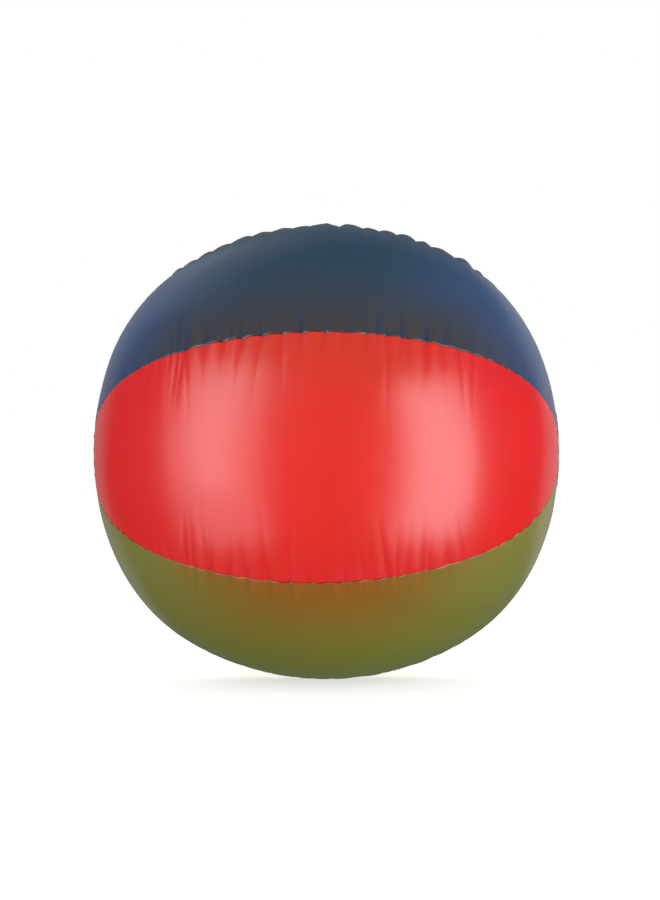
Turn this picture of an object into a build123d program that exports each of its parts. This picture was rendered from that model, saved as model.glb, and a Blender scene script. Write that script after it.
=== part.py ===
from build123d import *
from math import asin, cos, degrees, radians, sin
import os

# Inflatable beach ball: six film gores welded edge to edge, a disc over each pole, and a push-in valve.
# Millimetres. The ball's poles lie on the X axis, +Z is up, and the origin is the ball's centre.
# A gore's place is its angle round the X axis, from 0 at the front (-Y) through 90 at the top (+Z).

# Driving dimensions of the inflated ball
ball_radius = 200.0
ball_half_length = 205.0
shoulder_arc = 160.0
film = 0.3
weld_gap = 0.02

# Gores and end discs
panel_names = ["front", "top_front", "top_back", "back", "bottom_back", "bottom_front"]
panel_angle = 360 / len(panel_names)
tip_radius = 8.0
weld_flange = 4.0
flange_end_radius = 30.0
end_disc_radius = 34.0
inner_disc_radius = 27.0

# Valve: its place on the back panel, and its parts, measured from the ball's skin outwards
valve_panel = "back"
valve_tilt = 120.0
valve_hole_radius = 12.5
flange_inner_radius = 12.2
flange_outer_radius = 18.5
flange_thick = 0.6
stem_top = -1.2
stem_length = 16.0
stem_radius = 5.5
bore_radius = 4.0
lip_radius = 7.2
lip_thick = 1.6
skirt_top = 0.1
skirt_root = -8.0
skirt_thick = 0.5
valve_travel = 14.0
head_radius = 6.8
head_thick = 1.8
head_edge = 0.4
stub_depth = 5.0
tab_width = 4.5
tab_reach = 9.8
tab_round = 0.8
strap_width = 4.0
strap_thick = 0.8
strap_hinge = 9.2
flap_radius = 5.0
flap_thick = 0.6
flap_hinge_width = 3.0
flap_gap = 0.05

# The outline is three tangent arcs from each pole to the middle: a pole arc on the axis, a shoulder arc
# and a middle arc. They meet where the outline's normal stands at these angles from the axis.
shoulder_from = 22.0
shoulder_to = 60.0
c1, s1 = cos(radians(shoulder_from)), sin(radians(shoulder_from))
c2, s2 = cos(radians(shoulder_to)), sin(radians(shoulder_to))
length_left = ball_half_length - shoulder_arc * (c1 - c2)
radius_left = ball_radius - shoulder_arc * (s2 - s1)
determinant = c2 * s1 - (1 - c1) * (1 - s2)
middle_arc = (length_left * s1 - radius_left * (1 - c1)) / determinant
pole_arc = (radius_left * c2 - length_left * (1 - s2)) / determinant
pole_x = ball_half_length - pole_arc
middle_r = ball_radius - middle_arc
shoulder_x = pole_x + (pole_arc - shoulder_arc) * c1
shoulder_r = (pole_arc - shoulder_arc) * s1


def radial_plane(angle):
    """The plane through the poles whose +y points outwards at this angle round the ball."""
    outwards = Vector(0, -cos(radians(angle)), sin(radians(angle)))
    return Plane(origin=(0, 0, 0), x_dir=(1, 0, 0), z_dir=Vector(1, 0, 0).cross(outwards))


def pole_angle(radius):
    """The angle of the outline's normal where the pole arc is this far from the axis."""
    return degrees(asin(radius / pole_arc))


def on_pole_arc(angle, inset, side=1):
    """A point of the pole arc, this far inside the skin, at the +X (side 1) or -X (side -1) pole."""
    reach = pole_arc - inset
    return (side * (pole_x + reach * cos(radians(angle))), reach * sin(radians(angle)))


def outline(inset, end_angle):
    """Draws the ball's outline from pole to pole, this far inside the skin."""
    CenterArc((pole_x, 0), pole_arc - inset, end_angle, shoulder_from - end_angle)
    CenterArc((shoulder_x, shoulder_r), shoulder_arc - inset, shoulder_from, shoulder_to - shoulder_from)
    CenterArc((0, middle_r), middle_arc - inset, shoulder_to, 180 - 2 * shoulder_to)
    CenterArc((-shoulder_x, shoulder_r), shoulder_arc - inset, 180 - shoulder_to, shoulder_to - shoulder_from)
    CenterArc((-pole_x, 0), pole_arc - inset, 180 - shoulder_from, shoulder_from - end_angle)


def skin_band(outer, inner, end_angle):
    """The flat closed strip between two depths inside the skin, from pole to pole."""
    with BuildSketch() as band:
        with BuildLine():
            outline(outer, end_angle)
            outline(inner, end_angle)
            for side in (1, -1):
                Line(on_pole_arc(end_angle, outer, side), on_pole_arc(end_angle, inner, side))
        make_face()
    return band.sketch


def gore(name, middle):
    """One film panel with its two inward weld flanges, centred on this angle round the ball."""
    upper = radial_plane(middle + panel_angle / 2)
    lower = radial_plane(middle - panel_angle / 2)
    with BuildPart() as panel:
        with BuildSketch(upper):
            add(skin_band(0, film, pole_angle(tip_radius)))
        revolve(axis=Axis.X, revolution_arc=panel_angle)
        with BuildSketch(upper):
            add(skin_band(film / 2, film + weld_flange, pole_angle(flange_end_radius)))
        extrude(amount=film)
        with BuildSketch(lower):
            add(skin_band(film / 2, film + weld_flange, pole_angle(flange_end_radius)))
        extrude(amount=-film)
        if name == valve_panel:
            with BuildSketch(valve_plane.offset(5)):
                Circle(valve_hole_radius)
            extrude(amount=-10, mode=Mode.SUBTRACT)
    return panel


def pole_disc(side, radius, outer, inner):
    """A round film patch over one pole, between two depths inside the skin (negative is outside)."""
    edge = pole_angle(radius)
    start = 0 if side > 0 else 180
    with BuildPart() as disc:
        with BuildSketch(radial_plane(0)):
            with BuildLine():
                CenterArc((side * pole_x, 0), pole_arc - outer, start, side * edge)
                Line(on_pole_arc(edge, outer, side), on_pole_arc(edge, inner, side))
                CenterArc((side * pole_x, 0), pole_arc - inner, start, side * edge)
                Line(on_pole_arc(0, outer, side), on_pole_arc(0, inner, side))
            make_face()
        revolve(axis=Axis.X)
    return disc


# The valve stands on the skin where the middle arc meets the shoulder arc on the -X side. Its own
# plane has +z outwards along the skin's normal and +x downwards, towards the strap.
valve_angle = panel_names.index(valve_panel) * panel_angle
valve_normal = Vector(cos(radians(valve_tilt)), sin(radians(valve_tilt)), 0)
valve_point = Vector(0, middle_r, 0) + valve_normal * middle_arc
valve_plane = Plane(origin=valve_point, x_dir=(0, 0, -1), z_dir=valve_normal)


# Film panels
os.makedirs("parts", exist_ok=True)
for index, name in enumerate(panel_names):
    panel = gore(name, index * panel_angle)
    panel.part.label = "panel_" + name
    export_step(panel.part, "parts/panel_" + name + ".step")

# End discs outside the gores' tips, and closing discs inside them
for side, hand in ((1, "right"), (-1, "left")):
    outer_disc = pole_disc(side, end_disc_radius, -film - weld_gap, -weld_gap)
    outer_disc.part.label = "end_disc_" + hand
    export_step(outer_disc.part, "parts/end_disc_" + hand + ".step")
    inner_disc = pole_disc(side, inner_disc_radius, film + weld_gap, 2 * film + weld_gap)
    inner_disc.part.label = "inner_disc_" + hand
    export_step(inner_disc.part, "parts/inner_disc_" + hand + ".step")

# Valve flange: a ring that follows the skin, welded onto the film round the hole
with BuildPart() as valve_flange:
    with BuildSketch(radial_plane(valve_angle + panel_angle / 2)):
        add(skin_band(-weld_gap - flange_thick, -weld_gap, pole_angle(flange_end_radius)))
    revolve(axis=Axis.X, revolution_arc=panel_angle)
    with BuildSketch(valve_plane.offset(5)):
        Circle(flange_outer_radius)
        Circle(flange_inner_radius, mode=Mode.SUBTRACT)
    extrude(amount=-10, mode=Mode.INTERSECT)
valve_flange.part.label = "valve_flange"
export_step(valve_flange.part, "parts/valve_flange.step")

# Valve stem: a tube with a rounded lip at its mouth
stem_end = stem_top - stem_length
with BuildPart() as valve_stem:
    with BuildSketch(valve_plane.offset(stem_end)):
        Circle(stem_radius)
    extrude(amount=stem_length)
    with BuildSketch(valve_plane.offset(stem_top - lip_thick)):
        Circle(lip_radius)
    extrude(amount=lip_thick)
    lip_edges = valve_stem.edges().filter_by(GeomType.CIRCLE).filter_by(lambda e: e.radius > stem_radius + 1)
    fillet(lip_edges, 0.5)
    with BuildSketch(valve_plane.offset(stem_end - 1)):
        Circle(bore_radius)
    extrude(amount=stem_length + 2, mode=Mode.SUBTRACT)
valve_stem.part.label = "valve_stem"
export_step(valve_stem.part, "parts/valve_stem.step")

# Valve skirt: the cone from the flange's inner edge down to the stem
skirt_outer = flange_inner_radius - weld_gap
skirt_inner = stem_radius + weld_gap
valve_section = Plane(origin=valve_plane.origin, x_dir=valve_plane.x_dir, z_dir=-valve_plane.y_dir)
with BuildPart() as valve_skirt:
    with BuildSketch(valve_section):
        with BuildLine():
            Polyline(
                (skirt_outer, skirt_top),
                (skirt_outer - 0.9, skirt_top - 0.4),
                (skirt_inner + 1.6, skirt_root + 0.3),
                (skirt_inner, skirt_root),
                (skirt_inner, skirt_root - skirt_thick),
                (skirt_inner + 1.6 + skirt_thick, skirt_root + 0.3 - skirt_thick),
                (skirt_outer - 0.9 + 0.7 * skirt_thick, skirt_top - 0.4 - skirt_thick),
                (skirt_outer, skirt_top - skirt_thick),
                close=True,
            )
        make_face()
        fillet(vertices().sort_by(Axis.X)[2:-2], 0.6)
    revolve(axis=Axis(valve_plane.origin, valve_plane.z_dir))
valve_skirt.part.label = "valve_skirt"
export_step(valve_skirt.part, "parts/valve_skirt.step")

# Stopper: a flat head with a finger tab, and a stub that narrows so that it swings clear of the bore
with BuildPart() as stopper:
    with BuildSketch(valve_plane.offset(stem_top)):
        Circle(head_radius)
        with Locations((-tab_reach / 2, 0)):
            Rectangle(tab_reach, tab_width)
        fillet(vertices().sort_by(Axis.X)[:4], tab_round)
    extrude(amount=head_thick)
    fillet(stopper.faces().filter_by(valve_plane).sort_by(SortBy.AREA)[-1].edges(), head_edge)
    with BuildSketch(valve_section):
        with BuildLine():
            Polyline(
                (0, stem_top),
                (bore_radius - 0.1, stem_top),
                (bore_radius - 0.45, stem_top - 0.6 * stub_depth),
                (bore_radius - 1.2, stem_top - stub_depth),
                (0, stem_top - stub_depth),
                close=True,
            )
        make_face()
    revolve(axis=Axis(valve_plane.origin, valve_plane.z_dir))
stopper.part.label = "stopper"
export_step(stopper.part, "parts/stopper.step")

# Stopper strap: a flat loop from the lip's side round to the head's side
lip_height = stem_top - lip_thick / 2
head_height = stem_top + head_thick / 2
loop_radius = (head_height - lip_height) / 2
hinge_height = (head_height + lip_height) / 2
strap_start = lip_radius + weld_gap
with BuildPart() as stopper_strap:
    with BuildSketch(valve_section):
        with BuildLine():
            Line((strap_start, lip_height - strap_thick / 2), (strap_hinge, lip_height - strap_thick / 2))
            CenterArc((strap_hinge, hinge_height), loop_radius + strap_thick / 2, -90, 180)
            Line((strap_hinge, head_height + strap_thick / 2), (strap_start, head_height + strap_thick / 2))
            Line((strap_start, head_height + strap_thick / 2), (strap_start, head_height - strap_thick / 2))
            Line((strap_start, head_height - strap_thick / 2), (strap_hinge, head_height - strap_thick / 2))
            CenterArc((strap_hinge, hinge_height), loop_radius - strap_thick / 2, 90, -180)
            Line((strap_hinge, lip_height + strap_thick / 2), (strap_start, lip_height + strap_thick / 2))
            Line((strap_start, lip_height + strap_thick / 2), (strap_start, lip_height - strap_thick / 2))
        make_face()
    extrude(amount=strap_width / 2, both=True)
stopper_strap.part.label = "stopper_strap"
export_step(stopper_strap.part, "parts/stopper_strap.step")

# Check flap: a leaf over the stem's inner end, with a rolled hinge at the strap's side
flap_height = stem_end - flap_gap - flap_thick / 2
with BuildPart() as check_flap:
    with BuildSketch(valve_plane.offset(flap_height - flap_thick / 2)):
        Circle(flap_radius)
    extrude(amount=flap_thick)
    fillet(check_flap.edges().filter_by(GeomType.CIRCLE), 0.15)
    with BuildSketch(valve_section):
        with Locations((flap_radius, flap_height)):
            Circle(flap_thick / 2)
    extrude(amount=flap_hinge_width / 2, both=True)
check_flap.part.label = "check_flap"
export_step(check_flap.part, "parts/check_flap.step")

# Joint and mount positions in metres, for the record
for label, point in (
    ("valve point", valve_plane.origin),
    ("stopper hinge", valve_plane.from_local_coords(Vector(strap_hinge, 0, hinge_height))),
    ("flap hinge", valve_plane.from_local_coords(Vector(flap_radius, 0, flap_height))),
):
    print(label, [round(value / 1000, 5) for value in point])
print("valve travel", valve_travel / 1000)
print("valve axis", [round(value, 5) for value in valve_normal])
print("hinge axis", [round(value, 5) for value in valve_plane.y_dir])
print("arcs", round(middle_arc, 2), round(shoulder_arc, 2), round(pole_arc, 2))
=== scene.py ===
"""Inflatable beach ball: six puckered film gores, two pole discs and a push-in valve.

Everything is in metres, in the CAD model's own frame: the poles lie on the X axis, the front is -Y and
+Z is up.
"""

import math

import bmesh
import bpy
import numpy as np
from mathutils import Matrix, Vector


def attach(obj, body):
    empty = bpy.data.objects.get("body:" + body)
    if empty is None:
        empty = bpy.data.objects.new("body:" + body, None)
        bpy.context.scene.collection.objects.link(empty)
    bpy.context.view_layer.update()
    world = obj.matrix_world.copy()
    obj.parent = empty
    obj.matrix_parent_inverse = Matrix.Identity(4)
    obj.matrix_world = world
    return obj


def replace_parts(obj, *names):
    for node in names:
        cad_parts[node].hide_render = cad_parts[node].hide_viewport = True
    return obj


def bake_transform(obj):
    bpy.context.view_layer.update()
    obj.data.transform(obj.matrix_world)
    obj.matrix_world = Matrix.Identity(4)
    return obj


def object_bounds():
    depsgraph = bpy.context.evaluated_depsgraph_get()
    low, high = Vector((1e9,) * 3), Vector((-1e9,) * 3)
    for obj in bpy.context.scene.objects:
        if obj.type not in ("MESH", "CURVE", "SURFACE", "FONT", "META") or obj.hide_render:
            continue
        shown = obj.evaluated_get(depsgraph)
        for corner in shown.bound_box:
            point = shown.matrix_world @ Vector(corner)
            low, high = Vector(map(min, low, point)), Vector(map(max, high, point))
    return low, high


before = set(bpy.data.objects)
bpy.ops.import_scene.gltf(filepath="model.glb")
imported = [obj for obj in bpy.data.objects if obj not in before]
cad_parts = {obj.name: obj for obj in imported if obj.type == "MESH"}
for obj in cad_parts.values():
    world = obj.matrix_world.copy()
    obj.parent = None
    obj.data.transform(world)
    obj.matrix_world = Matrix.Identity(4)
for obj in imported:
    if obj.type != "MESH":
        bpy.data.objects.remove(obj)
cad_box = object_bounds()

MM = 0.001

# The inflated outline: three tangent arcs from the middle to each pole, as in the CAD model
FILM = 0.3 * MM
BALL_RADIUS = 200 * MM
HALF_LENGTH = 205 * MM
SHOULDER_ARC = 160 * MM
SHOULDER_TILT = math.radians(30)
POLE_TILT = math.radians(68)
TIP_RADIUS = 8 * MM
DISC_RADIUS = 34 * MM
shoulder_sin, shoulder_cos = math.sin(SHOULDER_TILT), math.cos(SHOULDER_TILT)
pole_sin, pole_cos = math.sin(POLE_TILT), math.cos(POLE_TILT)
length_left = HALF_LENGTH - SHOULDER_ARC * (pole_sin - shoulder_sin)
radius_left = BALL_RADIUS - SHOULDER_ARC * (shoulder_cos - pole_cos)
determinant = shoulder_sin * pole_cos - (1 - pole_sin) * (1 - shoulder_cos)
MIDDLE_ARC = (length_left * pole_cos - radius_left * (1 - pole_sin)) / determinant
POLE_ARC = (radius_left * shoulder_sin - length_left * (1 - shoulder_cos)) / determinant
MIDDLE_R = BALL_RADIUS - MIDDLE_ARC
POLE_X = HALF_LENGTH - POLE_ARC
SHOULDER_X = (MIDDLE_ARC - SHOULDER_ARC) * shoulder_sin
SHOULDER_R = MIDDLE_R + (MIDDLE_ARC - SHOULDER_ARC) * shoulder_cos
MIDDLE_RUN = MIDDLE_ARC * SHOULDER_TILT
SHOULDER_RUN = SHOULDER_ARC * (POLE_TILT - SHOULDER_TILT)
POLE_RUN = MIDDLE_RUN + SHOULDER_RUN + POLE_ARC * (math.pi / 2 - POLE_TILT)
TIP_RUN = POLE_RUN - POLE_ARC * math.asin(TIP_RADIUS / POLE_ARC)

# Gores, by the angle of their middle round the ball: 0 is the front (-Y) and 90 the top (+Z)
GORES = ["front", "top_front", "top_back", "back", "bottom_back", "bottom_front"]
GORE_ANGLE = 2 * math.pi / len(GORES)

# A gore's mesh: columns along its seams, wider apart towards the poles, and rows between the seams, closer
# together towards them
COLUMNS, ROWS = 480, 80
POLE_STRETCH = 0.2
ROW_CROWDING = 1.9

# A gore's edges: the depths of its turned-in weld flange, its rolled shoulder, and its gap to the seam
FLANGE_ROWS = (5.0 * MM, 3.0 * MM, 1.2 * MM)
SHOULDER_ROLL = 0.7 * MM
SEAM_GAP = 0.03 * MM

# A gore's form: its lift off the skin, its slow swells, how far the weld line's wandering reaches across it,
# and the distances from the ball's axis between which the puckers fade out at the poles
SKIN_LIFT = 0.3 * MM
SWELL, SWELL_LENGTH, SWELL_TURN = 0.35 * MM, 31 * MM, 5.3
SHIFT_REACH = 12 * MM
NO_PUCKERS, ALL_PUCKERS = 38 * MM, 66 * MM

# A gore's painted light and shade: the weld line's width, the reach of the through-light tints from its two
# seams, and its deepest fold
WELD_LINE = 0.5 * MM
LOWER_TINT, UPPER_TINT = 50 * MM, 62 * MM
FULL_FOLD = 1.6 * MM

# The pole discs: height off the skin, dome, wavy rim, ridges over the seams, and the pressed weld band's
# start, full depth and end
DISC_LIFT, DISC_DOME, DISC_WAVE = 0.4 * MM, 0.6 * MM, 0.12 * MM
DISC_RIDGE, DISC_RIDGE_WIDTH = 0.45 * MM, 1.1 * MM
DISC_BAND, DISC_BAND_DEPTH = (27 * MM, 28 * MM, 32 * MM, 33 * MM), 0.12 * MM

# The valve: where it stands, and its parts' radii about its axis and heights from the skin outwards
VALVE_GORE = "back"
VALVE_RUN = -MIDDLE_RUN
FLANGE_INNER, FLANGE_OUTER = 12.2 * MM, 18.5 * MM
VALVE_CUT = 15.0 * MM
STEM_TOP, STEM_END = -1.2 * MM, -17.2 * MM
STEM_RADIUS, BORE_RADIUS = 5.5 * MM, 4.0 * MM
LIP_RADIUS, LIP_THICK = 7.2 * MM, 1.6 * MM
SKIRT_TOP, SKIRT_ROOT, SKIRT_THICK = 0.1 * MM, -8.0 * MM, 0.5 * MM
HEAD_RADIUS, HEAD_THICK = 6.8 * MM, 1.8 * MM
STUB_DEPTH = 5.0 * MM
TAB_REACH, TAB_WIDTH = 9.8 * MM, 4.5 * MM
STRAP_HINGE, STRAP_WIDTH, STRAP_THICK = 9.2 * MM, 4.0 * MM, 0.8 * MM
RIB_RADIUS, RIB_PLACES = 0.26 * MM, (-7.6 * MM, -8.4 * MM, -9.2 * MM)
MOULD_ROUNDING, STRIP_ROUNDING = 0.45 * MM, 0.3 * MM

# The camera: its lens in millimetres, its place round the ball and its roll in degrees, its distance, and
# the point it looks at
LENS = 73.8
VIEW_AZIMUTH, VIEW_ELEVATION, VIEW_ROLL = 2.45, 1.3, -0.6
VIEW_DISTANCE = 8.21 * BALL_RADIUS
VIEW_TARGET = (3 * MM, 0, 2 * MM)


def srgb(r, g, b):
    """A linear colour from 0 to 255 screen values."""
    def linear(v):
        v /= 255
        return v / 12.92 if v <= 0.04045 else ((v + 0.055) / 1.055) ** 2.4
    return (linear(r), linear(g), linear(b), 1)


def smooth(low, high, value):
    """0 below low, 1 above high, and a smooth step between."""
    t = np.clip((value - low) / (high - low), 0, 1)
    return t * t * (3 - 2 * t)


# ---------------------------------------------------------------- the skin

def outline(run):
    """Point (x, r) and outward normal of the outline, this far along it from the middle towards +X."""
    far = np.abs(run)
    tilt = np.select(
        [far < MIDDLE_RUN, far < MIDDLE_RUN + SHOULDER_RUN],
        [far / MIDDLE_ARC, SHOULDER_TILT + (far - MIDDLE_RUN) / SHOULDER_ARC],
        POLE_TILT + (far - MIDDLE_RUN - SHOULDER_RUN) / POLE_ARC,
    )
    where = [tilt < SHOULDER_TILT, tilt < POLE_TILT]
    arc = np.select(where, [MIDDLE_ARC, SHOULDER_ARC], POLE_ARC)
    side = np.sign(run)
    x = side * (np.select(where, [0, SHOULDER_X], POLE_X) + arc * np.sin(tilt))
    r = np.select(where, [MIDDLE_R, SHOULDER_R], 0) + arc * np.cos(tilt)
    return x, r, side * np.sin(tilt), np.cos(tilt)


def skin(run, angle, height):
    """Points on the ball at this run along the outline and angle round it, this far outside the skin."""
    x, r, nx, nr = outline(run)
    radius = r + nr * height
    return np.stack([x + nx * height, -radius * np.cos(angle), radius * np.sin(angle)], axis=-1)


# The puckers of each seam, counted from the one above the front gore: how much deeper and further reaching
# they are than plain ones, where the nominal skin stands between their valleys (0) and their lobes (1), and
# the runs in millimetres that they fill
PUCKERS = [
    (1.0, 1.0, 0.6, -105, 110),
    (2.1, 1.6, 0.32, -112, 125),
    (1.2, 1.2, 0.5, -110, 100),
    (1.0, 1.0, 0.5, -115, 110),
    (1.0, 1.2, 0.5, -105, 95),
    (0.9, 1.0, 0.6, -95, 100),
]

# Beyond those runs they fade over this length, by this share
FADE_LENGTH = 70 * MM
FADE_SHARE = 0.85

# What the puckers are drawn from. Millimetres: the space between valleys, how far a lobe reaches into the
# film, how far the weld line bows beside it. Shares: a lobe's depth to its span, its sideways lean
VALLEY_STEP = (13.0, 22.0)
LOBE_REACH = (9, 19)
WELD_BOW = (0.2, 0.95)
LOBE_DEPTH = (0.055, 0.115)
LOBE_LEAN = 0.13

# What the finer wrinkles are drawn from. Millimetres: the space between them, their depth, width and reach.
# A share: their sideways lean. They stop this far from a gore's tips, and from this depth on their streaks
# of painted light are at full strength
WRINKLE_STEP = (4, 11)
WRINKLE_DEPTH = (0.05, 0.3)
WRINKLE_WIDTH = (1.4, 3.2)
WRINKLE_REACH = (10, 35)
WRINKLE_LEAN = 0.12
WRINKLE_MARGIN = 20 * MM
FULL_STREAK = 0.22 * MM

# Longer, sharper folds that stand out: run, depth, reach up and reach down, in millimetres
DEEP_FOLDS = {
    0: [(-119, 1.7, 30, 26), (-113.5, 1.1, 18, 28), (-69.5, 1.0, 22, 22), (28, 0.8, 20, 18),
        (48, 1.0, 20, 24), (68.5, 1.0, 22, 16), (90.5, 1.3, 24, 22)],
    5: [(-113, 1.1, 26, 14), (-90, 0.9, 20, 12), (84, 1.3, 30, 14), (40, 0.8, 22, 12), (62, 0.8, 22, 12)],
}
DEEP_WIDTH = 1.7 * MM
DEEP_LEAN = (0.03, -0.08)


class Seam:
    """The puckers across one seam: valleys in the film with rounded lobes between them."""

    def __init__(self, number):
        rng = np.random.default_rng(40 + number)
        strength, stretch, self.skin_level, self.left, self.right = PUCKERS[number]
        places = [-TIP_RUN - 10 * MM]
        while places[-1] < TIP_RUN + 10 * MM:
            step = rng.uniform(*VALLEY_STEP) * MM
            places.append(places[-1] + step * (0.45 + 0.55 * self.fullness(places[-1])))
        count = len(places)
        self.valleys = np.array(places)
        self.span = np.diff(self.valleys)
        full = self.fullness(self.valleys)
        self.depth = strength * self.span * rng.uniform(*LOBE_DEPTH, count - 1) * full[1:]
        self.reach = stretch * rng.uniform(*LOBE_REACH, (2, count)) * MM * (0.5 + 0.5 * full)
        self.lean = rng.normal(0, LOBE_LEAN, (2, count))
        self.bow = rng.uniform(*WELD_BOW, count - 1) * MM * rng.choice([1, 1, 1, -1], count - 1) * full[1:]
        self.shine = rng.uniform(-0.5, 1.0, count - 1)
        self.wrinkles = []
        run = -TIP_RUN + WRINKLE_MARGIN
        while run < TIP_RUN - WRINKLE_MARGIN:
            depth = strength * rng.uniform(*WRINKLE_DEPTH) * MM * (0.2 + 0.8 * self.fullness(run))
            width = rng.uniform(*WRINKLE_WIDTH) * MM
            reach = rng.uniform(*WRINKLE_REACH, 2) * MM
            lean = rng.normal(0, WRINKLE_LEAN, 2)
            self.wrinkles.append((run, depth, width, *reach, *lean))
            run += rng.uniform(*WRINKLE_STEP) * MM
        for run, depth, up, down in DEEP_FOLDS.get(number, ()):
            self.wrinkles.append((run * MM, depth * MM, DEEP_WIDTH, up * MM, down * MM, *DEEP_LEAN))

    def fullness(self, run):
        """1 where the puckers are at their fullest, and a little where they die away towards the poles."""
        past = np.maximum(self.left * MM - run, run - self.right * MM)
        return 1 - FADE_SHARE * smooth(0, FADE_LENGTH, past)

    def lobes(self, run):
        """Which span a run is in, how far along it, and the lobe's outline there, from 0 to 1."""
        span = np.clip(np.searchsorted(self.valleys, run) - 1, 0, len(self.span) - 1)
        along = np.clip((run - self.valleys[span]) / self.span[span], 0, 1)
        return span, along, (4 * along * (1 - along)) ** 0.85

    def height(self, run, across, side):
        """How far the film stands out (or in), on the seam's upper (side 1) or lower (side -1) gore."""
        row = 0 if side > 0 else 1
        shifted = run - np.interp(run, self.valleys, self.lean[row]) * across
        span, _, lobe = self.lobes(shifted)
        reach = np.interp(shifted, self.valleys, self.reach[row])
        near = np.exp(-((across / reach) ** 1.4))
        far = np.exp(-((across / (2.8 * reach)) ** 2))
        total = self.depth[span] * ((lobe - self.skin_level) * near + 0.2 * (lobe - 0.5) * far)
        for place, depth, width, up, down, lean_up, lean_down in self.wrinkles:
            length, lean = (up, lean_up) if side > 0 else (down, lean_down)
            offset = np.abs(run - place - lean * across) / (width * (1 + 0.9 * across / length))
            total = total - depth * np.exp(-(offset**1.25)) * np.exp(-((across / length) ** 1.6))
        return total

    def light_streak(self, run, across, side):
        """How strongly painted light streaks the film beside the seam, from 0 to 1."""
        total = 0 * run * across
        for place, depth, width, up, down, lean_up, lean_down in self.wrinkles:
            length, lean = (up, lean_up) if side > 0 else (down, lean_down)
            offset = (run - place - lean * across) / width
            weight = min(depth / FULL_STREAK, 1)
            total = total + weight * np.exp(-(offset**2)) * np.exp(-((across / (0.55 * length)) ** 2))
        return np.clip(total, 0, 1)

    def shift(self, run):
        """How far the weld line wanders upwards between its puckers."""
        span, along, _ = self.lobes(run)
        return self.bow[span] * (2.6 * along**0.7 * (1 - along) - 0.5)

    def glint(self, run):
        """How the weld line is painted: from 1, a painted glint where its edge faces the light, to -1,
        painted shade where it is tucked under.
        """
        span, along, _ = self.lobes(run)
        lit = np.cos(math.pi * (along + 0.15)) * np.sign(self.bow[span])
        return np.where(lit > 0, lit * np.maximum(self.shine[span], 0), lit)


seams = [Seam(number) for number in range(len(GORES))]


def grid_faces(rows, columns, start=0, flip=False, wrap=False):
    """Quads over a grid of rows by columns whose first vertex is start."""
    last = columns if wrap else columns - 1
    i, j = np.meshgrid(np.arange(rows - 1), np.arange(last), indexing="ij")
    k = (j + 1) % columns
    corners = [i * columns + j, i * columns + k, (i + 1) * columns + k, (i + 1) * columns + j]
    quads = np.stack(corners, axis=-1).reshape(-1, 4) + start
    return quads[:, ::-1] if flip else quads


def make_piece(name, points, faces, material, body, attributes=None):
    """A smooth mesh object that rides on a body."""
    mesh = bpy.data.meshes.new(name)
    mesh.vertices.add(len(points))
    mesh.vertices.foreach_set("co", np.asarray(points, np.float32).ravel())
    mesh.loops.add(faces.size)
    mesh.loops.foreach_set("vertex_index", faces.ravel().astype(np.int32))
    mesh.polygons.add(len(faces))
    mesh.polygons.foreach_set("loop_start", np.arange(0, faces.size, 4, dtype=np.int32))
    mesh.polygons.foreach_set("use_smooth", np.ones(len(faces), bool))
    mesh.update(calc_edges=True)
    for label, values in (attributes or {}).items():
        layer = mesh.attributes.new(label, "FLOAT", "POINT")
        layer.data.foreach_set("value", values.astype(np.float32).ravel())
    mesh.validate()
    mesh.materials.append(material)
    piece = bpy.data.objects.new(name, mesh)
    bpy.context.scene.collection.objects.link(piece)
    if body:
        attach(piece, body)
    return piece


def grid_normals(points):
    """Unit normals of a grid of points, from its own neighbours."""
    down = np.gradient(points, axis=0)
    along = np.gradient(points, axis=1)
    normal = np.cross(along, down)
    return normal / np.maximum(np.linalg.norm(normal, axis=-1, keepdims=True), 1e-12)


def closed_sheet(outer, thickness):
    """A grid of outer points and its copy this far inside, as one closed sheet: points and faces."""
    rows, columns = outer.shape[:2]
    inner = outer - grid_normals(outer) * thickness
    size = rows * columns
    points = np.concatenate([outer.reshape(-1, 3), inner.reshape(-1, 3)])
    index = np.arange(size).reshape(rows, columns)
    rim = np.concatenate([index[0, :], index[1:, -1], index[-1, -2::-1], index[-2:0:-1, 0]])
    nxt = np.roll(rim, -1)
    walls = np.stack([rim, rim + size, nxt + size, nxt], axis=-1)
    faces = np.concatenate([grid_faces(rows, columns), grid_faces(rows, columns, size, flip=True), walls])
    return points, faces


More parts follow.
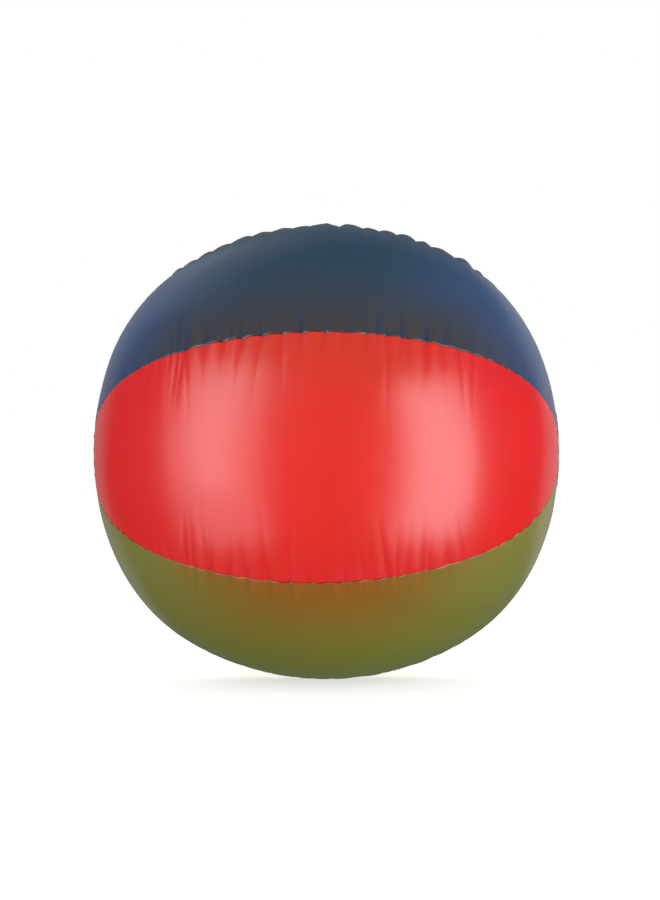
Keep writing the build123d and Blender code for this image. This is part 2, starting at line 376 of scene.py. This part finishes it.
def gore_shape(number):
    """One gore's grid of outer points with its turned-in edges, and its masks for painted light and shade."""
    middle = number * GORE_ANGLE
    q = np.linspace(-1, 1, ROWS + 1)
    turn = np.sign(q) * (1 - (1 - np.abs(q)) ** ROW_CROWDING) * GORE_ANGLE / 2
    column = np.linspace(-1, 1, COLUMNS + 1)[None, :]
    run = TIP_RUN * ((1 - POLE_STRETCH) * column + POLE_STRETCH * column**3)
    radius = outline(run)[1]
    from_lower = (turn[:, None] + GORE_ANGLE / 2) * radius
    from_upper = (GORE_ANGLE / 2 - turn[:, None]) * radius
    hold = smooth(NO_PUCKERS, ALL_PUCKERS, radius)
    below, above = seams[number - 1], seams[number]
    folds = (below.height(run, from_lower, 1) + above.height(run, from_upper, -1)) * hold
    swell = SWELL * np.sin(run / SWELL_LENGTH + number) * np.sin(turn[:, None] * SWELL_TURN + number * 1.7)
    lower_line, upper_line = below.shift(run) * hold, above.shift(run) * hold
    if GORES[number] == VALVE_GORE:
        flat = smooth(FLANGE_OUTER, 2 * FLANGE_OUTER, np.hypot(run - VALVE_RUN, turn[:, None] * radius))
        folds, swell = folds * flat, swell * flat
    near = np.minimum(from_lower, from_upper)
    inside = np.clip(SHOULDER_ROLL - near, 0, SHOULDER_ROLL)
    roll = SHOULDER_ROLL - np.sqrt(np.maximum(SHOULDER_ROLL**2 - inside**2, 0))
    height = SKIN_LIFT * hold + swell * hold + folds - roll
    drift = lower_line * np.exp(-((from_lower / SHIFT_REACH) ** 1.5))
    drift = drift + upper_line * np.exp(-((from_upper / SHIFT_REACH) ** 1.5))
    edge_turn = np.sign(turn) * (np.abs(turn) - SEAM_GAP / BALL_RADIUS)
    angle = middle + edge_turn[:, None] + drift / radius
    points = skin(run, angle, height)
    # Masks for painted light and shade: the weld line's painted glints and tucked-under shade, the painted
    # through-light tints from both seams, the painted fold shade and light, and the painted light streaks
    line = np.exp(-((near / WELD_LINE) ** 2)) * hold
    glint = np.where(from_lower < from_upper, below.glint(run), above.glint(run))
    keep = {
        "lower": np.exp(-((from_lower / LOWER_TINT) ** 1.6)) + 0 * run,
        "upper": np.exp(-((from_upper / UPPER_TINT) ** 1.5)) + 0 * run,
        "fold_shade_and_light": np.clip(-folds / FULL_FOLD, 0, 1),
        "light_streak": np.maximum(below.light_streak(run, from_lower, 1), above.light_streak(run, from_upper, -1)) * hold,
        "painted_glint": line * np.clip(glint, 0, 1),
        "painted_tuck_shade": line * np.clip(0.2 - glint, 0, 1),
    }
    # the weld flanges turn inwards from both edges
    first = [skin(run[0], angle[0], height[0] - depth) for depth in FLANGE_ROWS]
    last = [skin(run[0], angle[-1], height[-1] - depth) for depth in FLANGE_ROWS[::-1]]
    points = np.concatenate([first, points, last])
    extra = len(FLANGE_ROWS)
    keep = {
        label: np.concatenate([np.repeat(v[:1], extra, 0), v, np.repeat(v[-1:], extra, 0)])
        for label, v in keep.items()
    }
    return points, keep


def make_gore(number, material):
    """One gore as a closed sheet of film, with a hole in it where the valve stands."""
    name = GORES[number]
    outer, keep = gore_shape(number)
    points, faces = closed_sheet(outer, FILM)
    keep = {label: np.concatenate([v.ravel(), v.ravel()]) for label, v in keep.items()}
    if name == VALVE_GORE:
        far = np.linalg.norm(points[faces].mean(axis=1) - np.array(valve_point), axis=1)
        faces = faces[far > VALVE_CUT]
    piece = make_piece("vinyl_" + name, points, faces, material, "ball", keep)
    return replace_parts(piece, "panel_" + name)


# ---------------------------------------------------------------- materials

def new_material(name):
    """A material with its nodes, its links and its shader."""
    material = bpy.data.materials.new(name)
    material.use_nodes = True
    tree = material.node_tree
    return material, tree.nodes, tree.links, tree.nodes["Principled BSDF"]


def noise(nodes, links, scale, detail=3.0, roughness=0.5, stretch=(1, 1, 1)):
    """Fractal noise over the object's own coordinates, in metres."""
    place = nodes.new("ShaderNodeTexCoord")
    mapping = nodes.new("ShaderNodeMapping")
    mapping.inputs["Scale"].default_value = stretch
    texture = nodes.new("ShaderNodeTexNoise")
    texture.inputs["Scale"].default_value = scale
    texture.inputs["Detail"].default_value = detail
    texture.inputs["Roughness"].default_value = roughness
    links.new(place.outputs["Object"], mapping.inputs["Vector"])
    links.new(mapping.outputs["Vector"], texture.inputs["Vector"])
    return texture.outputs["Fac"]


def spread(nodes, links, value, low, high):
    """The value, from 0 to 1, spread between low and high."""
    node = nodes.new("ShaderNodeMapRange")
    node.inputs["To Min"].default_value = low
    node.inputs["To Max"].default_value = high
    links.new(value, node.inputs["Value"])
    return node.outputs["Result"]


def times(nodes, links, a, b):
    """The product of a value and a number or another value, from 0 to 1."""
    node = nodes.new("ShaderNodeMath")
    node.operation = "MULTIPLY"
    node.use_clamp = True
    links.new(a, node.inputs[0])
    if isinstance(b, (int, float)):
        node.inputs[1].default_value = b
    else:
        links.new(b, node.inputs[1])
    return node.outputs[0]


def mixed(nodes, links, factor, a, b):
    """Colour a where factor is 0 and colour b where it is 1."""
    node = nodes.new("ShaderNodeMix")
    node.data_type = "RGBA"
    for socket, value in ((node.inputs["A"], a), (node.inputs["B"], b)):
        if isinstance(value, tuple):
            socket.default_value = value
        else:
            links.new(value, socket)
    links.new(factor, node.inputs["Factor"])
    return node.outputs["Result"]


def attribute(nodes, label):
    """A value kept on the mesh."""
    node = nodes.new("ShaderNodeAttribute")
    node.attribute_name = label
    return node.outputs["Fac"]


def bump(nodes, links, height, distance, strength=1.0, normal=None):
    """A bumped normal, on top of another one if given."""
    node = nodes.new("ShaderNodeBump")
    node.inputs["Distance"].default_value = distance
    node.inputs["Strength"].default_value = strength
    links.new(height, node.inputs["Height"])
    if normal:
        links.new(normal, node.inputs["Normal"])
    return node.outputs["Normal"]


def along_poles(nodes, links, near, far, centre=0.0):
    """1 round the ball's middle, falling to 0 towards both poles, between these distances from the centre."""
    place = nodes.new("ShaderNodeTexCoord")
    split = nodes.new("ShaderNodeSeparateXYZ")
    offset = nodes.new("ShaderNodeMath")
    offset.operation = "SUBTRACT"
    offset.inputs[1].default_value = centre
    size = nodes.new("ShaderNodeMath")
    size.operation = "ABSOLUTE"
    fall = nodes.new("ShaderNodeMapRange")
    fall.interpolation_type = "SMOOTHSTEP"
    fall.inputs["From Min"].default_value = near
    fall.inputs["From Max"].default_value = far
    fall.inputs["To Min"].default_value = 1
    fall.inputs["To Max"].default_value = 0
    links.new(place.outputs["Object"], split.inputs["Vector"])
    links.new(split.outputs["X"], offset.inputs[0])
    links.new(offset.outputs[0], size.inputs[0])
    links.new(size.outputs[0], fall.inputs["Value"])
    return fall.outputs["Result"]


def vinyl(name, film):
    """Satin film with painted light: tinted beside its seams as light through its neighbours would, most
    round the middle.
    """
    material, nodes, links, shader = new_material(name)
    belt = along_poles(nodes, links, 20 * MM, 165 * MM)
    low_belt = along_poles(nodes, links, 100 * MM, 205 * MM, 5 * MM)
    # The middle and ends colours differ by painted light: greyer through-light round the middle, painted
    # sheen towards the ends
    body = mixed(nodes, links, along_poles(nodes, links, 40 * MM, 170 * MM), film["ends"], film["middle"])
    cloud = spread(nodes, links, noise(nodes, links, 14, 2), 0.0, 0.22)
    own = mixed(nodes, links, cloud, body, film["deep_tone_and_shade"])
    shade = times(nodes, links, attribute(nodes, "lower"), spread(nodes, links, low_belt, 0.5, 0))
    shaded = mixed(nodes, links, shade, own, film["deep_tone_and_shade"])
    # Painted through-light from the neighbouring films beside the lower and upper seams
    low = times(nodes, links, attribute(nodes, "lower"), low_belt)
    high = times(nodes, links, attribute(nodes, "upper"), belt)
    tinted = mixed(nodes, links, low, shaded, film["low"])
    tinted = mixed(nodes, links, high, tinted, film["high"])
    # Painted light streaks beside the seams
    light_streaked = mixed(nodes, links, times(nodes, links, attribute(nodes, "light_streak"), 0.4), tinted, film["light_streak"])
    # Painted shade in the folds, and painted orange through-light in the green's folds
    fold_shaded = mixed(nodes, links, times(nodes, links, attribute(nodes, "fold_shade_and_light"), 0.7), light_streaked, film["deep_tone_and_shade"])
    # Painted shade along the weld line where it is tucked under
    tuck_shaded = mixed(nodes, links, times(nodes, links, attribute(nodes, "painted_tuck_shade"), 0.85), fold_shaded, film["edge"])
    # Painted glints along the weld line where its edge catches the light
    glinting = mixed(nodes, links, times(nodes, links, attribute(nodes, "painted_glint"), 0.6), tuck_shaded, film["glint"])
    links.new(glinting, shader.inputs["Base Color"])
    satin = noise(nodes, links, 55, 4, 0.6)
    links.new(spread(nodes, links, satin, 0.26, 0.33), shader.inputs["Roughness"])
    shader.inputs["IOR"].default_value = 1.55
    shader.inputs["Specular IOR Level"].default_value = 0.95
    peel = bump(nodes, links, noise(nodes, links, 240, 2), 0.05 * MM, 0.2)
    draw = bump(nodes, links, noise(nodes, links, 60, 3, 0.5, (2.5, 1, 1)), 0.16 * MM, 0.4, peel)
    links.new(draw, shader.inputs["Normal"])
    return material


def dimmer(colour, share):
    """The same colour at this share of its brightness."""
    return tuple(share * c for c in colour[:3]) + (1,)


def disc_film(name, colour):
    """Milky film of the pole discs, with a pebbled weld band near the rim."""
    material, nodes, links, shader = new_material(name)
    cloud = noise(nodes, links, 40, 3)
    own = mixed(nodes, links, spread(nodes, links, cloud, 0, 0.5), colour, dimmer(colour, 0.93))
    toned = mixed(nodes, links, times(nodes, links, attribute(nodes, "weld"), 0.5), own, srgb(205, 203, 198))
    links.new(toned, shader.inputs["Base Color"])
    links.new(spread(nodes, links, noise(nodes, links, 90, 4), 0.28, 0.42), shader.inputs["Roughness"])
    shader.inputs["Coat Weight"].default_value = 0.12
    shader.inputs["Coat Roughness"].default_value = 0.12
    pebble = nodes.new("ShaderNodeTexVoronoi")
    pebble.inputs["Scale"].default_value = 900
    place = nodes.new("ShaderNodeTexCoord")
    links.new(place.outputs["Object"], pebble.inputs["Vector"])
    height = times(nodes, links, pebble.outputs["Distance"], attribute(nodes, "weld"))
    fine = bump(nodes, links, noise(nodes, links, 240, 2), 0.05 * MM, 0.35)
    links.new(bump(nodes, links, height, 0.25 * MM, 0.8, fine), shader.inputs["Normal"])
    return material


def soft_moulding(name, colour):
    """Milky clear soft vinyl moulding of the valve."""
    material, nodes, links, shader = new_material(name)
    cloud = noise(nodes, links, 160, 3)
    own = mixed(nodes, links, spread(nodes, links, cloud, 0, 0.6), colour, dimmer(colour, 0.86))
    links.new(own, shader.inputs["Base Color"])
    links.new(spread(nodes, links, noise(nodes, links, 300, 3), 0.24, 0.38), shader.inputs["Roughness"])
    shader.inputs["Subsurface Weight"].default_value = 0.25
    shader.inputs["Subsurface Scale"].default_value = 1.5 * MM
    shader.inputs["Subsurface Radius"].default_value = (1, 0.9, 0.8)
    shader.inputs["Coat Weight"].default_value = 0.1
    shader.inputs["Coat Roughness"].default_value = 0.2
    links.new(bump(nodes, links, noise(nodes, links, 900, 3), 0.05 * MM, 0.5), shader.inputs["Normal"])
    return material


# ---------------------------------------------------------------- pole discs and valve

def tidy_shell(piece):
    """Merges coinciding points and turns the faces of a small closed piece outwards."""
    work = bmesh.new()
    work.from_mesh(piece.data)
    bmesh.ops.remove_doubles(work, verts=work.verts, dist=0.002 * MM)
    bmesh.ops.recalc_face_normals(work, faces=work.faces)
    work.to_mesh(piece.data)
    work.free()
    return piece


def make_disc(hand, side, material):
    """A round film patch over one pole: a pressed weld band, ridges over the six seams, a thin rim."""
    rings, sectors = 60, 180
    radius = np.linspace(0, DISC_RADIUS, rings + 1)[:, None]
    angle = np.linspace(0, 2 * math.pi, sectors, endpoint=False)[None, :]
    run = side * (POLE_RUN - POLE_ARC * np.arcsin(radius / POLE_ARC))
    from_seam = np.abs((angle / GORE_ANGLE) % 1 - 0.5) * GORE_ANGLE * radius
    ridge = DISC_RIDGE * np.exp(-((from_seam / DISC_RIDGE_WIDTH) ** 2)) * smooth(6 * MM, 14 * MM, radius)
    band = smooth(*DISC_BAND[:2], radius) * (1 - smooth(*DISC_BAND[2:], radius))
    dome = DISC_DOME * (1 - smooth(4 * MM, 26 * MM, radius))
    wave = DISC_WAVE * (1 + np.sin(angle * 17 + side)) * smooth(29 * MM, DISC_RADIUS, radius)
    height = DISC_LIFT + dome + ridge - DISC_BAND_DEPTH * band + wave
    outer = skin(run + 0 * angle, angle + 0 * radius, height)
    inner = skin(run + 0 * angle, angle + 0 * radius, height - FILM)
    shell = np.concatenate([outer, inner[::-1]])
    faces = grid_faces(len(shell), sectors, wrap=True)
    keep = {"weld": np.concatenate([band, band[::-1]]) + 0 * angle}
    piece = make_piece("disc_" + hand, shell.reshape(-1, 3), faces, material, "ball", keep)
    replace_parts(piece, "end_disc_" + hand)
    return tidy_shell(piece)


# The valve's own frame: z along its axis, x downwards to the strap's side
valve_angle = GORES.index(VALVE_GORE) * GORE_ANGLE
valve_x, valve_r, normal_x, normal_r = (float(v) for v in outline(np.array(VALVE_RUN)))
round_out = Vector((0, -math.cos(valve_angle), math.sin(valve_angle)))
valve_axis = Vector((normal_x, 0, 0)) + normal_r * round_out
valve_down = Vector((0, 0, -1))
valve_across = valve_axis.cross(valve_down)
valve_point = Vector((valve_x, 0, 0)) + valve_r * round_out


def in_valve(x, y, z):
    """Points given in the valve's own frame, as points on the ball."""
    axes = np.array([valve_down, valve_across, valve_axis])
    return np.stack(np.broadcast_arrays(x, y, z), axis=-1) @ axes + np.array(valve_point)


def about_valve(radius, angle, height):
    """A turned shape's points about the valve's axis."""
    return in_valve(radius * np.cos(angle), radius * np.sin(angle), height)


def on_skin(radius, angle, height):
    """Points on the ball's skin round the valve, this far outside it."""
    run = VALVE_RUN + radius * np.sin(angle)
    return skin(run, valve_angle - radius * np.cos(angle) / outline(run)[1], height)


def turned(name, profile, place, material, body, sectors=96):
    """A profile of (radius, height) points turned round, closed unless both its ends are on the axis."""
    profile = np.array(profile, float)
    if profile[0, 0] > 0 or profile[-1, 0] > 0:
        profile = np.concatenate([profile, profile[:1]])
    angle = np.linspace(0, 2 * math.pi, sectors, endpoint=False)[None, :]
    points = place(profile[:, :1] + 0 * angle, angle + 0 * profile[:, :1], profile[:, 1:] + 0 * angle)
    faces = grid_faces(len(profile), sectors, wrap=True)
    return tidy_shell(make_piece(name, points.reshape(-1, 3), faces, material, body))


def rounded(corners, radius, steps=4, closed=True):
    """The outline through these corners with each one rounded."""
    corners = [Vector(c) for c in corners]
    out = []
    for i, corner in enumerate(corners):
        if not closed and i in (0, len(corners) - 1):
            out.append(tuple(corner))
            continue
        before, after = corners[i - 1] - corner, corners[(i + 1) % len(corners)] - corner
        a = corner + before.normalized() * min(radius, 0.45 * before.length)
        b = corner + after.normalized() * min(radius, 0.45 * after.length)
        for k in range(steps + 1):
            t = k / steps
            out.append(tuple(a * (1 - t) ** 2 + corner * 2 * t * (1 - t) + b * t * t))
    return out


def swept(name, path, half_width, half_thick, material):
    """A flat strip with rounded edges along a path of points in the valve's x-z plane."""
    path = np.array(path, float)
    tangent = np.gradient(path, axis=0)
    tangent /= np.linalg.norm(tangent, axis=1, keepdims=True)
    normal = np.stack([-tangent[:, 1], tangent[:, 0]], axis=1)
    section = [(half_width, half_thick), (-half_width, half_thick), (-half_width, -half_thick)]
    ring = rounded(section + [(half_width, -half_thick)], STRIP_ROUNDING)
    scale = np.ones(len(path))
    scale[[0, -1]] = 0
    grid = []
    for (px, pz), (nx, nz), size in zip(path, normal, scale):
        grid.append([in_valve(px + nx * v * size, u * size, pz + nz * v * size) for u, v in ring])
    grid = np.array(grid)
    faces = grid_faces(len(path), len(ring), wrap=True)
    return tidy_shell(make_piece(name, grid.reshape(-1, 3), faces, material, None))


def join(target, *others):
    """Adds the other meshes to the target piece."""
    work = bmesh.new()
    work.from_mesh(target.data)
    for other in others:
        work.from_mesh(other.data)
        bpy.data.objects.remove(other)
    work.to_mesh(target.data)
    work.free()
    return target


def dress(node, material):
    """Gives a CAD piece that stays visible its material."""
    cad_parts[node].data.materials.clear()
    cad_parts[node].data.materials.append(material)


def make_flange(material):
    """The moulded ring welded on the film: a bead round its hole, pressed weld lines, a thin outer edge."""
    top = [(FLANGE_INNER, -0.35 * MM), (FLANGE_INNER, 0.55 * MM)]
    top += [(FLANGE_INNER + 0.25 * MM, 0.85 * MM), (FLANGE_INNER + 0.8 * MM, 0.95 * MM)]
    top += [(FLANGE_INNER + 1.4 * MM, 0.75 * MM)]
    lines = np.linspace(FLANGE_INNER + 1.8 * MM, FLANGE_OUTER - 0.6 * MM, 33)
    top += [(r, (0.62 - 0.09 * math.cos(k * math.pi / 4)) * MM) for k, r in enumerate(lines)]
    top += [(FLANGE_OUTER - 0.25 * MM, 0.55 * MM), (FLANGE_OUTER, 0.3 * MM), (FLANGE_OUTER, 0.0)]
    top += [(FLANGE_INNER + 0.5 * MM, 0.0)]
    flange = turned("valve_flange_ring", top, on_skin, material, "ball", 144)
    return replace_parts(flange, "valve_flange")


def make_skirt(material):
    """The thin cone that rolls inside out, with soft ripples."""
    steps = 26
    outer, inner = FLANGE_INNER + 0.1 * MM, STEM_RADIUS
    t = np.linspace(0, 1, steps)
    radius = outer + (inner - outer) * (t - 0.06 * np.sin(2 * math.pi * t))
    height = SKIRT_TOP - SKIRT_THICK / 2 + (SKIRT_ROOT - SKIRT_TOP) * (t + 0.06 * np.sin(2 * math.pi * t))
    path = np.stack([radius, height], axis=1)
    tangent = np.gradient(path, axis=0)
    tangent /= np.linalg.norm(tangent, axis=1, keepdims=True)
    normal = np.stack([tangent[:, 1], -tangent[:, 0]], axis=1)
    half = SKIRT_THICK / 2
    profile = np.concatenate([path + normal * half, (path - normal * half)[::-1]])

    def rippled(r, a, h):
        across = np.clip((r - inner) / (outer - inner), 0, 1)
        return about_valve(r, a, h + 0.16 * MM * np.sin(9 * a + 1) * np.sin(math.pi * across))

    skirt = turned("valve_skirt_cone", profile, rippled, material, None)
    in_valve(0, 0, SKIRT_TOP - half)
    in_valve(0, 0, SKIRT_ROOT)
    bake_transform(skirt)
    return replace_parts(skirt, "valve_skirt")


def make_stem(material):
    """The tube with its rolled lip and a moulded ring where the skirt joins."""
    outside = [
        (BORE_RADIUS, STEM_TOP),
        (LIP_RADIUS, STEM_TOP),
        (LIP_RADIUS, STEM_TOP - LIP_THICK),
        (STEM_RADIUS, STEM_TOP - LIP_THICK - 0.5 * MM),
        (STEM_RADIUS, SKIRT_ROOT + 0.7 * MM),
        (STEM_RADIUS + 0.5 * MM, SKIRT_ROOT + 0.1 * MM),
        (STEM_RADIUS + 0.5 * MM, SKIRT_ROOT - 0.7 * MM),
        (STEM_RADIUS, SKIRT_ROOT - 1.3 * MM),
        (STEM_RADIUS, STEM_END),
        (BORE_RADIUS, STEM_END),
    ]
    stem = turned("valve_stem_tube", rounded(outside, MOULD_ROUNDING), about_valve, material, "valve_stem")
    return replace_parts(stem, "valve_stem")


def make_stopper(material):
    """A dished head on a tapered stub, with a ribbed finger tab opposite the strap."""
    top = STEM_TOP + HEAD_THICK
    side = [
        (0, top - 0.35 * MM),
        (4.3 * MM, top - 0.35 * MM),
        (4.9 * MM, top),
        (HEAD_RADIUS, top),
        (HEAD_RADIUS, STEM_TOP + 0.05 * MM),
        (BORE_RADIUS - 0.1 * MM, STEM_TOP + 0.05 * MM),
        (BORE_RADIUS - 0.45 * MM, STEM_TOP - 0.6 * STUB_DEPTH),
        (BORE_RADIUS - 1.2 * MM, STEM_TOP - STUB_DEPTH),
        (0, STEM_TOP - STUB_DEPTH),
    ]
    profile = rounded(side, MOULD_ROUNDING, closed=False)
    stopper = turned("stopper_plug", profile, about_valve, material, "stopper")
    middle = STEM_TOP + 0.5 * HEAD_THICK
    reach = np.linspace(-0.8 * HEAD_RADIUS, -TAB_REACH, 12)
    tip = [(-TAB_REACH + 0.02 * MM, middle)]
    path = [(reach[0] + 0.02 * MM, middle)] + [(x, middle) for x in reach[1:]] + tip
    tab = swept("tab", path, TAB_WIDTH / 2, 0.36 * HEAD_THICK, material)
    ribs = []
    for x in RIB_PLACES:
        ribs.append(rib_bar(x, top - RIB_RADIUS, TAB_WIDTH / 2 - 0.5 * MM, material))
    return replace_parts(join(stopper, tab, *ribs), "stopper")


def rib_bar(x, z, half, material):
    """A small round bar across the finger tab."""
    along = np.array([-half, -0.96 * half, 0, 0.96 * half, half])[:, None]
    size = np.array([0, 1, 1, 1, 0])[:, None] * RIB_RADIUS
    angle = np.linspace(0, 2 * math.pi, 12, endpoint=False)[None, :]
    points = in_valve(x + size * np.cos(angle), along + 0 * angle, z + size * np.sin(angle))
    return tidy_shell(make_piece("rib", points.reshape(-1, 3), grid_faces(5, 12, wrap=True), material, None))


def make_strap(material):
    """The flat loop between the stem's lip and the stopper's head."""
    low = STEM_TOP - LIP_THICK / 2
    high = STEM_TOP + HEAD_THICK / 2
    loop = (high - low) / 2
    path = [(x, low) for x in np.linspace(LIP_RADIUS - 0.4 * MM, STRAP_HINGE, 6)[:-1]]
    for turn in np.linspace(-math.pi / 2, math.pi / 2, 15):
        path.append((STRAP_HINGE + loop * math.cos(turn), (low + high) / 2 + loop * math.sin(turn)))
    path += [(x, high) for x in np.linspace(STRAP_HINGE, HEAD_RADIUS - 0.4 * MM, 6)[1:]]
    path = [path[0]] + path + [path[-1]]
    path[0] = (path[1][0] - 0.01 * MM, low)
    path[-1] = (path[-2][0] - 0.01 * MM, high)
    strap = swept("stopper_strap_loop", path, STRAP_WIDTH / 2, STRAP_THICK / 2, material)
    start = in_valve(0, 0, low + STRAP_THICK / 2)
    end = in_valve(0, 0, high - STRAP_THICK / 2)
    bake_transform(strap)
    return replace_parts(strap, "stopper_strap")


# ---------------------------------------------------------------- camera, lights and floor

def aimed(azimuth, elevation, distance, target):
    """The place of something that looks at the target. Azimuth 0 is in front of the ball, 90 to its right."""
    a, e = math.radians(azimuth), math.radians(elevation)
    back = Vector((math.sin(a) * math.cos(e), -math.cos(a) * math.cos(e), math.sin(e)))
    return Matrix.Translation(target + back * distance) @ back.to_track_quat("Z", "Y").to_matrix().to_4x4()


def make_camera():
    """The view straight at the front panel, a touch from the right and from above."""
    data = bpy.data.cameras.new("camera")
    data.lens = LENS
    data.sensor_width = 36
    data.sensor_fit = "AUTO"
    camera = bpy.data.objects.new("camera", data)
    bpy.context.scene.collection.objects.link(camera)
    roll = Matrix.Rotation(math.radians(VIEW_ROLL), 4, "Z")
    place = aimed(VIEW_AZIMUTH, VIEW_ELEVATION, VIEW_DISTANCE, Vector(VIEW_TARGET))
    camera.matrix_world = place @ roll
    bpy.context.scene.camera = camera


def softbox(name, azimuth, elevation, distance, width, height, power, glossy=True):
    """A rectangular light aimed at the ball's centre."""
    data = bpy.data.lights.new(name, "AREA")
    data.shape = "RECTANGLE"
    data.size, data.size_y = width, height
    data.energy = power
    light = bpy.data.objects.new(name, data)
    bpy.context.scene.collection.objects.link(light)
    light.matrix_world = aimed(azimuth, elevation, distance, Vector())
    light.visible_camera = False
    light.visible_glossy = glossy


def make_world(strength, dim, backdrop):
    """Even white light and a white background. Reflections see a dim room with a paler back wall."""
    world = bpy.data.worlds.new("studio")
    bpy.context.scene.world = world
    world.use_nodes = True
    nodes, links = world.node_tree.nodes, world.node_tree.links
    place = nodes.new("ShaderNodeTexCoord")
    split = nodes.new("ShaderNodeSeparateXYZ")
    back = nodes.new("ShaderNodeMapRange")
    back.interpolation_type = "SMOOTHSTEP"
    back.inputs["From Min"].default_value = 0.6
    back.inputs["From Max"].default_value = 0.98
    back.inputs["To Min"].default_value = dim
    back.inputs["To Max"].default_value = backdrop
    links.new(place.outputs["Generated"], split.inputs["Vector"])
    links.new(split.outputs["Y"], back.inputs["Value"])
    path = nodes.new("ShaderNodeLightPath")
    even = nodes["Background"]
    room, seen = nodes.new("ShaderNodeBackground"), nodes.new("ShaderNodeBackground")
    for light in (even, room, seen):
        light.inputs["Color"].default_value = (1, 1, 1, 1)
        light.inputs["Strength"].default_value = 1.0
    even.inputs["Strength"].default_value = strength
    links.new(back.outputs["Result"], room.inputs["Strength"])
    glossy, camera = nodes.new("ShaderNodeMixShader"), nodes.new("ShaderNodeMixShader")
    links.new(path.outputs["Is Glossy Ray"], glossy.inputs["Fac"])
    links.new(even.outputs[0], glossy.inputs[1])
    links.new(room.outputs[0], glossy.inputs[2])
    links.new(path.outputs["Is Camera Ray"], camera.inputs["Fac"])
    links.new(glossy.outputs[0], camera.inputs[1])
    links.new(seen.outputs[0], camera.inputs[2])
    links.new(camera.outputs[0], nodes["World Output"].inputs["Surface"])


def make_floor():
    """A plain white floor under the ball, which reflections pass by."""
    material, _, _, shader = new_material("floor")
    shader.inputs["Base Color"].default_value = (0.7, 0.7, 0.7, 1)
    shader.inputs["Roughness"].default_value = 1.0
    shader.inputs["Specular IOR Level"].default_value = 0.0
    shader.inputs["Emission Color"].default_value = (1, 1, 1, 1)
    shader.inputs["Emission Strength"].default_value = 0.62
    bpy.ops.mesh.primitive_plane_add(size=60, location=(0, 0, cad_box[0].z - 1 * MM))
    floor = bpy.context.object
    floor.name = "floor"
    floor.data.materials.append(material)
    floor.visible_glossy = floor.visible_diffuse = floor.visible_shadow = False


# ---------------------------------------------------------------- the ball

# The colour of each film in its middle and at its ends, which differ by painted through-light and sheen; its
# deep tone, also painted in its folds as shade (as orange through-light in the green) and at the lower seam's
# ends as shade; its painted light streaks beside its seams and painted through-light beside its lower and
# upper seams; and along its weld line, painted shade where that is tucked under and a painted glint where it
# catches the light
FILMS = {
    "vinyl_red": dict(middle=srgb(222, 15, 4), ends=srgb(218, 22, 28), deep_tone_and_shade=srgb(208, 18, 8),
                      light_streak=srgb(220, 34, 48), low=srgb(212, 18, 6), high=srgb(204, 46, 18),
                      edge=srgb(110, 16, 14), glint=srgb(220, 70, 60)),
    "vinyl_blue": dict(middle=srgb(39, 70, 95), ends=srgb(60, 90, 136), deep_tone_and_shade=srgb(28, 48, 90),
                       light_streak=srgb(36, 54, 96), low=srgb(64, 60, 58), high=srgb(64, 98, 126),
                       edge=srgb(52, 24, 22), glint=srgb(168, 168, 166)),
    "vinyl_orange": dict(middle=srgb(218, 104, 34), ends=srgb(228, 116, 30), deep_tone_and_shade=srgb(206, 82, 20),
                         light_streak=srgb(216, 88, 16), low=srgb(150, 92, 58), high=srgb(228, 140, 34),
                         edge=srgb(128, 52, 16), glint=srgb(240, 176, 120)),
    "vinyl_yellow": dict(middle=srgb(230, 186, 44), ends=srgb(234, 196, 40), deep_tone_and_shade=srgb(216, 156, 20),
                         light_streak=srgb(222, 164, 20), low=srgb(228, 200, 104), high=srgb(228, 156, 36),
                         edge=srgb(150, 104, 20), glint=srgb(246, 226, 150)),
    "vinyl_white": dict(middle=srgb(226, 222, 210), ends=srgb(232, 232, 228), deep_tone_and_shade=srgb(206, 200, 188),
                        light_streak=srgb(214, 206, 180), low=srgb(196, 200, 162), high=srgb(232, 216, 160),
                        edge=srgb(150, 146, 130), glint=srgb(246, 246, 244)),
    "vinyl_green": dict(middle=srgb(105, 120, 39), ends=srgb(114, 123, 54), deep_tone_and_shade=srgb(136, 80, 8),
                        light_streak=srgb(172, 92, 6), low=srgb(72, 116, 46), high=srgb(138, 82, 6),
                        edge=srgb(120, 20, 12), glint=srgb(226, 176, 120)),
}
for number, (slot, film) in enumerate(FILMS.items()):
    make_gore(number, vinyl(slot, film))

disc_material = disc_film("disc_white", srgb(232, 231, 226))
make_disc("right", 1, disc_material)
make_disc("left", -1, disc_material)
for hand in ("right", "left"):
    dress("inner_disc_" + hand, disc_material)

valve_material = soft_moulding("valve_clear", srgb(226, 232, 230))
make_flange(valve_material)
make_skirt(valve_material)
make_stem(valve_material)
make_stopper(valve_material)
make_strap(valve_material)
dress("check_flap", valve_material)

make_camera()
softbox("softbox_left", -43, 10, 1.1, 0.34, 1.0, 1.2)
softbox("left_skirt", -43, 1, 1.1, 0.78, 1.8, 5.6)
softbox("softbox_right", 47, -3, 1.1, 0.32, 1.3, 3.6)
softbox("right_skirt", 47, -3, 1.1, 0.62, 1.5, 7.0)
softbox("back_left", -142, 8, 1.3, 0.8, 1.8, 0.9)
softbox("back_right", 146, 4, 1.3, 0.8, 1.1, 0.85)
softbox("back_top", -140, 50, 1.3, 0.9, 0.6, 0.25)
softbox("back_fill", 180, 30, 1.4, 1.2, 1.2, 6.0, glossy=False)
make_world(strength=0.6, dim=0.045, backdrop=0.14)
make_floor()
bpy.context.scene.view_settings.view_transform = "Standard"
